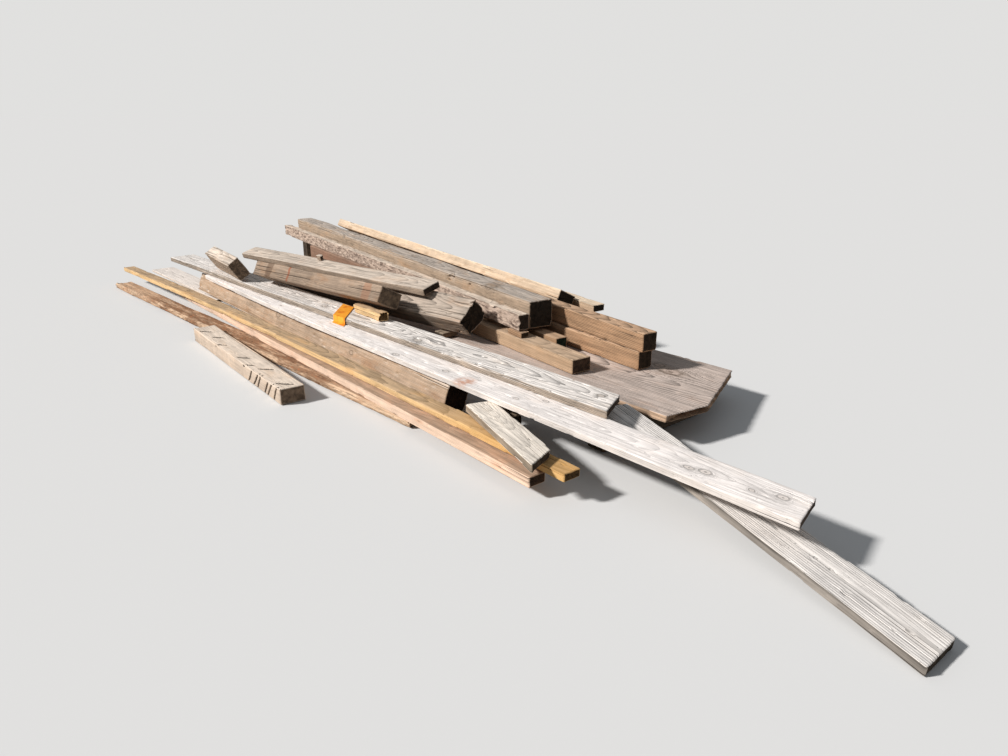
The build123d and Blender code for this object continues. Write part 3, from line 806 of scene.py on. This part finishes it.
# Rust marks: distance along, half width, tone and strength
RUST_MARKS = (
    (0.20, 0.045, (92, 70, 54), 0.6),
    (0.45, 0.014, (150, 84, 54), 0.7),
    (1.32, 0.045, (158, 104, 72), 0.4),
)


def rust_stripes(g, place, colour):
    """Dark stain, rust stripe and orange patch across the beam, and a lower half darkened as painted shade.
    """
    parts = g.node("ShaderNodeSeparateXYZ", {}, (place,))
    wobble = g.noise(g.stretched(place, (14.0, 30.0, 30.0), NO_SHIFT), detail=4.0)
    along = parts.out("X") + (wobble - 0.5) * 0.03
    # Painted shade: the lower half of the section is darkened
    low = 1.0 - parts.out("Z").between(0.0, 0.03)
    for middle, half, tone, strength in RUST_MARKS:
        away = (along - middle).size()
        colour = g.mix(colour, linear(*tone), (1.0 - away.between(half * 0.7, half)) * strength)
    return g.mix(colour, g.scaled(colour, 0.7), low * 0.5)


LONG_STAIN_PLACE = (3.166, -0.058, 0.016)


def stained(g, place, colour):
    """A small pink brown stain on the top."""
    away = g.node("ShaderNodeVectorMath", {"operation": "DISTANCE"}, (place, LONG_STAIN_PLACE)).out("Value")
    blot = g.noise(g.stretched(place, (30.0, 60.0, 60.0), NO_SHIFT), detail=4.0)
    strength = (1.0 - away.between(0.02, 0.075)) * blot.between(0.3, 0.6) * 0.9
    return g.mix(colour, linear(204, 154, 128), strength)


def bark(g, place, colour):
    """Mottled bark on the front side."""
    across = g.node("ShaderNodeSeparateXYZ", {}, (place,)).out("Y")
    lumps = g.noise(g.stretched(place, (16.0, 60.0, 60.0), (1.0, 2.0, 0.0)), detail=6.0, roughness=0.72)
    skin = g.mix(linear(76, 56, 48), linear(206, 184, 166), lumps.between(0.36, 0.62))
    return g.mix(colour, skin, (1.0 - across.between(-0.034, -0.026)) * lumps.between(0.2, 0.3) * 0.9)


def gold_and_lit_near_end(g, place, colour):
    """Treated yellow wood that turns gold towards the near end: partly its own gold tone, partly painted
    light on the top, which is lit there.
    """
    return g.mix(colour, linear(214, 160, 78), along_of(g, place).between(4.1, 5.0) * 0.5)


# Tones of each wood: top, side and end; the end tones are partly darker end grain and partly painted shade
WOODS = {
    "block": Wood("block_wood", 1, (222, 206, 190), (196, 178, 161), (134, 116, 100), warm=(200, 170, 140),
                  warmth=0.4, figure=0.2, fibre=0.4, cracks=0.4, blotch=0.9),
    "rotten": Wood("rotten_wood", 2, (192, 160, 132), (206, 178, 150), (90, 70, 54), warm=(166, 116, 80),
                   warmth=0.6, fibre=0.9, cracks=0.9, blotch=0.8, extra=rotten),
    # Painted shade: the pink stud's top tone is darker than its side, for a top that faces away from the
    # light
    "pink": Wood("pink_wood", 3, (176, 148, 126), (226, 197, 174), (76, 56, 42), warm=(206, 150, 112),
                 warmth=0.35, figure=0.3, fibre=0.5, cracks=0.5),
    # Painted shade: the yellow wood's top tone is darker than its side, for a top in shade; its extra gold
    # also paints light on the top near the near end
    "yellow": Wood("yellow_wood", 4, (188, 160, 128), (222, 188, 140), (96, 74, 46), warm=(204, 158, 104),
                   warmth=0.5, figure=0.5, fibre=0.7, cracks=0.4, extra=gold_and_lit_near_end),
    "front": Wood("front_wood", 5, (206, 192, 178), (170, 144, 119), (48, 32, 22), warm=(150, 112, 80),
                  warmth=0.6, figure=0.35, fibre=0.6, cracks=0.7, blotch=0.8,
                  knots=((1.45, -0.07, 0.02, 0.016), (2.42, -0.07, 0.0, 0.012))),
    "offcut": Wood("offcut_wood", 6, (228, 218, 206), (140, 126, 110), (74, 62, 50), warm=(200, 180, 158),
                   warmth=0.25, figure=0.35, fibre=0.7, cracks=0.6, ring=0.007, drift=0.06),
    "low": Wood("low_wood", 7, (236, 230, 225), (150, 142, 134), (80, 70, 60), warm=(206, 190, 172),
                warmth=0.2, figure=0.8, fibre=0.6, cracks=0.5, ring=0.0085, pith=0.012, drift=0.004,
                knots=((0.19, -0.062, 0.019, 0.014),)),
    "long": Wood("long_wood", 8, (238, 231, 227), (214, 206, 200), (84, 72, 62), warm=(214, 196, 180),
                 warmth=0.3, figure=0.3, fibre=0.5, cracks=0.5, drift=0.03, extra=stained,
                 knots=((4.41, -0.034, 0.016, 0.014), (4.47, -0.019, 0.016, 0.017),
                        (4.653, -0.018, 0.016, 0.008), (4.75, 0.014, 0.016, 0.015),
                        (2.99, -0.035, 0.016, 0.013), (2.61, -0.07, 0.016, 0.015),
                        (3.49, -0.031, 0.016, 0.010), (3.605, 0.044, 0.016, 0.010))),
    "rough": Wood("rough_wood", 9, (233, 226, 220), (156, 143, 130), (70, 58, 48), warm=(206, 184, 162),
                  warmth=0.3, figure=0.7, fibre=0.9, cracks=0.9, ring=0.007, pith=0.02, drift=0.035,
                  knots=((3.28, -0.05, 0.019, 0.020), (4.49, 0.025, 0.019, 0.014), (1.6, 0.05, 0.019, 0.016),
                         (2.3, -0.03, 0.019, 0.015))),
    "far": Wood("far_wood", 22, (232, 222, 214), (212, 198, 186), (84, 72, 62), warm=(206, 186, 166),
                fibre=0.4),
    "slab": Wood("slab_wood", 10, (198, 182, 172), (196, 166, 140), (180, 150, 124), warm=(176, 146, 126),
                 warmth=0.4, figure=0.75, fibre=0.75, cracks=0.6, blotch=0.6, ring=0.011, pith=0.03,
                 drift=0.06,
                 knots=((2.035, 0.124, 0.02, 0.040), (1.93, 0.168, 0.02, 0.022), (1.2, -0.1, 0.02, 0.025),
                        (0.7, 0.2, 0.02, 0.02))),
    "tan": Wood("tan_wood", 11, (192, 166, 140), (180, 152, 124), (70, 54, 42), warm=(170, 134, 100),
                warmth=0.4, figure=0.45, fibre=0.55, cracks=0.5, ring=0.008, drift=0.04,
                knots=((1.15, -0.0635, 0.01, 0.008),)),
    "green": Wood("green_wood", 12, (184, 154, 126), (168, 136, 106), (26, 46, 38), warm=(164, 122, 88),
                  warmth=0.4, figure=0.45, blotch=0.3),
    "brown": Wood("brown_wood", 13, (188, 156, 128), (172, 138, 108), (56, 44, 33), warm=(158, 116, 84),
                  warmth=0.45, figure=0.85, fibre=0.7, cracks=0.5, ring=0.008, pith=0.035, drift=0.06),
    "grey": Wood("grey_wood", 14, (182, 170, 159), (164, 144, 124), (44, 38, 32), warm=(170, 134, 100),
                 warmth=0.5, figure=0.6, fibre=0.8, cracks=0.9, drift=0.03,
                 knots=((3.55, -0.05, 0.0825, 0.030), (2.4, 0.0, 0.0825, 0.018))),
    "bark": Wood("bark_wood", 15, (208, 192, 176), (180, 160, 146), (52, 44, 38), warm=(180, 146, 120),
                 cracks=0.8, extra=bark),
    "leaning": Wood("leaning_wood", 16, (170, 156, 143), (168, 150, 134), (44, 36, 28), warm=(168, 134, 106),
                    warmth=0.45, figure=0.6, fibre=0.85, cracks=0.95, blotch=0.7, drift=0.03),
    "stub": Wood("stub_wood", 23, (206, 192, 178), (160, 142, 124), (120, 104, 88), warm=(168, 134, 106),
                 warmth=0.35, figure=0.5, fibre=0.8, cracks=0.9, blotch=0.6),
    "top": Wood("top_wood", 17, (198, 184, 170), (160, 142, 125), (52, 42, 34), warm=(184, 152, 124),
                warmth=0.4, figure=0.5, fibre=0.8, cracks=0.9, blotch=0.6),
    "rust": Wood("rust_wood", 18, (160, 141, 124), (154, 134, 116), (112, 96, 80), warm=(156, 118, 86),
                 warmth=0.5, figure=0.5, fibre=0.8, cracks=0.95, blotch=0.8, extra=rust_stripes),
    "light": Wood("light_wood", 19, (222, 202, 178), (194, 166, 138), (52, 42, 33), warm=(206, 168, 130)),
    "red": Wood("red_wood", 20, (150, 122, 104), (136, 106, 88), (60, 46, 38), warm=(136, 92, 72)),
    # Painted shade: the hidden supports get dark tones, so that where they show they read as shadow
    "hidden": Wood("hidden_shade_wood", 21, (150, 134, 116), (112, 98, 84), (62, 52, 42)),
}

# Slits of the short block: shares of the length and width, and for the front also half length and turn
SLIT_DEPTH = 0.018
TOP_SLIT_HALF_LENGTH = 0.048
TOP_SLIT_HALF_WIDTH = 0.011
TOP_SLIT_TURN = 43.0
TOP_SLITS = ((0.09, 0.33), (0.22, 0.5), (0.33, 0.2), (0.56, 0.41), (0.66, 0.2), (0.75, 0.54), (0.95, 0.4))
FRONT_SLIT_HALF_WIDTH = 0.0055
FRONT_SLITS = (
    (0.70, 0.45, 0.070, 48.0), (0.765, 0.55, 0.090, 44.0), (0.80, 0.6, 0.075, 52.0),
    (0.865, 0.4, 0.065, 50.0), (0.90, 0.45, 0.075, 46.0), (0.955, 0.5, 0.070, 55.0),
)
BLOCK_SLITS = [
    Slit(TOP, along, across, TOP_SLIT_HALF_LENGTH, TOP_SLIT_HALF_WIDTH, TOP_SLIT_TURN, SLIT_DEPTH)
    for along, across in TOP_SLITS
] + [
    Slit(FRONT, along, across, half_length, FRONT_SLIT_HALF_WIDTH, turned, SLIT_DEPTH)
    for along, across, half_length, turned in FRONT_SLITS
]

# Node, slot, wood and wear of each timber
PIECES = [
    ("short_block", "white_grey_wood", "block",
     Wear(11, checks=5, check_depth=0.006, edge=0.009, hollow=0.005, slits=BLOCK_SLITS, cell=0.55)),
    ("rotten_timber", "rotten_wood", "rotten",
     Wear(12, checks=10, check_depth=0.016, edge=0.020, hollow=0.010, grain=0.003, lumps=0.012, ragged=0.05)),
    ("pink_stud", "pink_wood", "pink", Wear(13, checks=4, edge=0.004)),
    ("yellow_stud", "yellow_treated_wood", "yellow", Wear(14, checks=4, edge=0.004)),
    ("front_beam", "brown_wood", "front", Wear(15, checks=8, check_depth=0.008, edge=0.013, hollow=0.004)),
    ("far_white_plank", "white_grey_wood", "far",
     Wear(16, checks=3, check_depth=0.003, edge=0.003, ragged=0.04)),
    ("grey_offcut", "white_grey_wood", "offcut",
     Wear(17, checks=5, check_depth=0.004, edge=0.004, ragged=0.002, cell=0.8)),
    ("low_grey_plank", "white_grey_wood", "low",
     Wear(18, checks=8, check_depth=0.003, edge=0.003, ragged=0.0015, cell=0.9)),
    ("long_white_plank", "white_grey_wood", "long",
     Wear(19, checks=6, check_depth=0.004, edge=0.003, ragged=0.0012)),
    ("rough_white_plank", "white_grey_wood", "rough",
     Wear(20, checks=8, check_depth=0.005, edge=0.006, grain=0.002, ragged=0.002)),
    ("wide_slab", "grey_wood", "slab",
     Wear(21, checks=9, check_depth=0.006, edge=0.006, hollow=0.003, cell=1.5)),
    ("tan_beam", "tan_wood", "tan", Wear(22, checks=5, edge=0.006, ragged=0.002)),
    ("green_end_beam", "tan_wood", "green", Wear(23, checks=3, edge=0.005, cell=1.3)),
    ("lower_brown_beam", "brown_wood", "brown", Wear(24, checks=6, edge=0.006, cell=1.4)),
    ("upper_brown_beam", "brown_wood", "brown", Wear(25, checks=7, edge=0.006, ragged=0.002, cell=1.1)),
    ("big_grey_beam", "grey_wood", "grey",
     Wear(26, checks=12, check_depth=0.010, edge=0.018, hollow=0.006, cell=1.2)),
    ("bark_beam", "bark_wood", "bark", Wear(27, checks=5, edge=0.008, lumps=0.014, cell=1.15)),
    ("leaning_beam", "grey_wood", "leaning",
     Wear(28, checks=12, check_depth=0.010, edge=0.014, hollow=0.006, ragged=0.015, cell=1.15)),
    ("far_stub", "grey_wood", "stub", Wear(46, checks=5, edge=0.012, hollow=0.006, ragged=0.012)),
    ("top_plank", "white_grey_wood", "top", Wear(29, checks=8, check_depth=0.007, edge=0.008)),
    ("rust_striped_beam", "grey_wood", "rust", Wear(30, checks=8, edge=0.010, hollow=0.005)),
    ("split_board", "tan_wood", "yellow", Wear(31, checks=2, edge=0.006, ragged=0.05)),
    ("pale_stub", "white_grey_wood", "top", Wear(32, checks=1, edge=0.008, ragged=0.01)),
    ("back_brown_beam", "brown_wood", "light", Wear(33, checks=6, edge=0.008, cell=1.3)),
    ("back_light_board", "white_grey_wood", "light", Wear(34, checks=2, edge=0.004)),
    ("red_board", "brown_wood", "red", Wear(35, checks=2, edge=0.004, cell=1.8)),
    ("dark_board", "brown_wood", "brown", Wear(36, checks=1, edge=0.003)),
    ("packing_block", "grey_wood", "hidden", Wear(37, checks=2, cell=1.6)),
    ("filler_block", "grey_wood", "hidden", Wear(38, checks=1, cell=1.6)),
    ("middle_filler", "grey_wood", "hidden", Wear(47, checks=1, cell=1.6)),
    ("wedge_block", "grey_wood", "hidden", Wear(39, checks=1, cell=1.6)),
    ("near_sleeper", "grey_wood", "hidden", Wear(40, checks=3, cell=2.4)),
    ("middle_sleeper", "grey_wood", "hidden", Wear(41, checks=3, cell=2.4)),
    ("far_sleeper", "grey_wood", "hidden", Wear(42, checks=3, cell=2.4)),
    ("far_bearer", "grey_wood", "hidden", Wear(43, checks=3, cell=2.4)),
    ("rear_lower", "grey_wood", "hidden", Wear(44, checks=6, cell=2.0)),
    ("rear_upper", "grey_wood", "hidden", Wear(45, checks=6, cell=2.0)),
]


def orange_tag():
    """Thin orange tag, as the CAD solid with finer faces."""
    shape = bmesh.new()
    shape.from_mesh(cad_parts["orange_tag"].data)
    bmesh.ops.remove_doubles(shape, verts=shape.verts, dist=MERGE)
    bmesh.ops.subdivide_edges(shape, edges=shape.edges, cuts=3, use_grid_fill=True)
    mesh = bpy.data.meshes.new("orange_tag_skin")
    shape.to_mesh(mesh)
    shape.free()
    piece = bpy.data.objects.new("orange_tag_skin", mesh)
    bpy.context.scene.collection.objects.link(piece)
    g = Graph(bpy.data.materials.new("orange_plastic"))
    place = g.node("ShaderNodeTexCoord", {}, ()).out("Object")
    dirt = g.noise(place, scale=22.0, detail=4.0)
    colour = g.mix(linear(252, 172, 56), linear(226, 124, 34), dirt.between(0.45, 0.7))
    mesh.materials.append(g.finish(colour, 0.5 + dirt * 0.2, dirt, 0.15))
    return piece


def place_piece(piece, node, slot):
    """The piece rides with the heap and stands for its node; its slot is not used."""
    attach(piece, "root")
    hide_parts(node)


def build_heap():
    """Every timber with its wood, and the tag."""
    materials = {}
    for node, slot, wood, wear in PIECES:
        piece = timber_mesh(node + "_skin", Place(node), wear)
        if wood not in materials:
            materials[wood] = wood_material(WOODS[wood])
        piece.data.materials.append(materials[wood])
        place_piece(piece, node, slot)
    place_piece(orange_tag(), "orange_tag", "orange_plastic")


def floor():
    """Plain pale floor, darker for the light that it throws back on the heap."""
    shape = bmesh.new()
    bmesh.ops.create_grid(shape, x_segments=2, y_segments=2, size=FLOOR_SIZE)
    mesh = bpy.data.meshes.new("floor")
    shape.to_mesh(mesh)
    shape.free()
    plane = bpy.data.objects.new("floor", mesh)
    plane.location = (0.0, 0.0, -FLOOR_DROP)
    bpy.context.scene.collection.objects.link(plane)
    g = Graph(bpy.data.materials.new("floor_paint"))
    seen = g.node("ShaderNodeBsdfDiffuse", {}, {"Color": FLOOR_TONE}).out()
    thrown = g.node("ShaderNodeBsdfDiffuse", {}, {"Color": FLOOR_BOUNCE}).out()
    ray = g.node("ShaderNodeLightPath", {}, ()).out("Is Camera Ray")
    either = g.node("ShaderNodeMixShader", {}, (ray, thrown, seen)).out()
    g.node("ShaderNodeOutputMaterial", {}, {"Surface": either})
    mesh.materials.append(g.owner)


def studio():
    """One soft light from the left and the front of the heap, and an even pale surround."""
    lamp = bpy.data.lights.new("key", "SUN")
    lamp.energy = SUN_STRENGTH
    lamp.angle = math.radians(SUN_WIDTH)
    lamp.color = SUN_TONE
    thing = bpy.data.objects.new("key", lamp)
    thing.location = Vector(SUN_FROM) * SUN_DISTANCE
    thing.rotation_euler = Vector(SUN_FROM).to_track_quat("Z", "Y").to_euler()
    bpy.context.scene.collection.objects.link(thing)
    world = bpy.data.worlds.new("surround")
    bpy.context.scene.world = world
    g = Graph(world)
    seen = g.node("ShaderNodeBackground", {}, {"Color": SURROUND_TONE}).out()
    soft = g.node("ShaderNodeBackground", {}, {"Color": SKY_TONE, "Strength": SKY_STRENGTH}).out()
    ray = g.node("ShaderNodeLightPath", {}, ()).out("Is Camera Ray")
    either = g.node("ShaderNodeMixShader", {}, (ray, soft, seen)).out()
    g.node("ShaderNodeOutputWorld", {}, {"Surface": either})


def camera():
    """Camera at the place and the tilt that the heap is seen from."""
    data = bpy.data.cameras.new("camera")
    data.sensor_width = SENSOR_WIDTH
    data.lens = FOCAL_PIXELS / IMAGE_WIDTH * SENSOR_WIDTH
    data.clip_end = VIEW_REACH
    thing = bpy.data.objects.new("camera", data)
    thing.location = CAMERA_PLACE
    thing.rotation_euler = (math.radians(90.0 - CAMERA_DROP), 0.0, math.radians(CAMERA_HEADING))
    bpy.context.scene.collection.objects.link(thing)
    bpy.context.scene.camera = thing


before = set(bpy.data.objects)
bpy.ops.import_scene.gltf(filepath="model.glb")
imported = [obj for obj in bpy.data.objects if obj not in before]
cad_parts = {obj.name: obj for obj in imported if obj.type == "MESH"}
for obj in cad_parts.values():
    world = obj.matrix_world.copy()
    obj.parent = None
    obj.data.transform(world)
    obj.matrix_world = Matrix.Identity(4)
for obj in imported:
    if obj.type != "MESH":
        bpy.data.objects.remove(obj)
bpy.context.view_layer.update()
build_heap()
floor()
studio()
camera()
bpy.context.scene.view_settings.view_transform = "Standard"
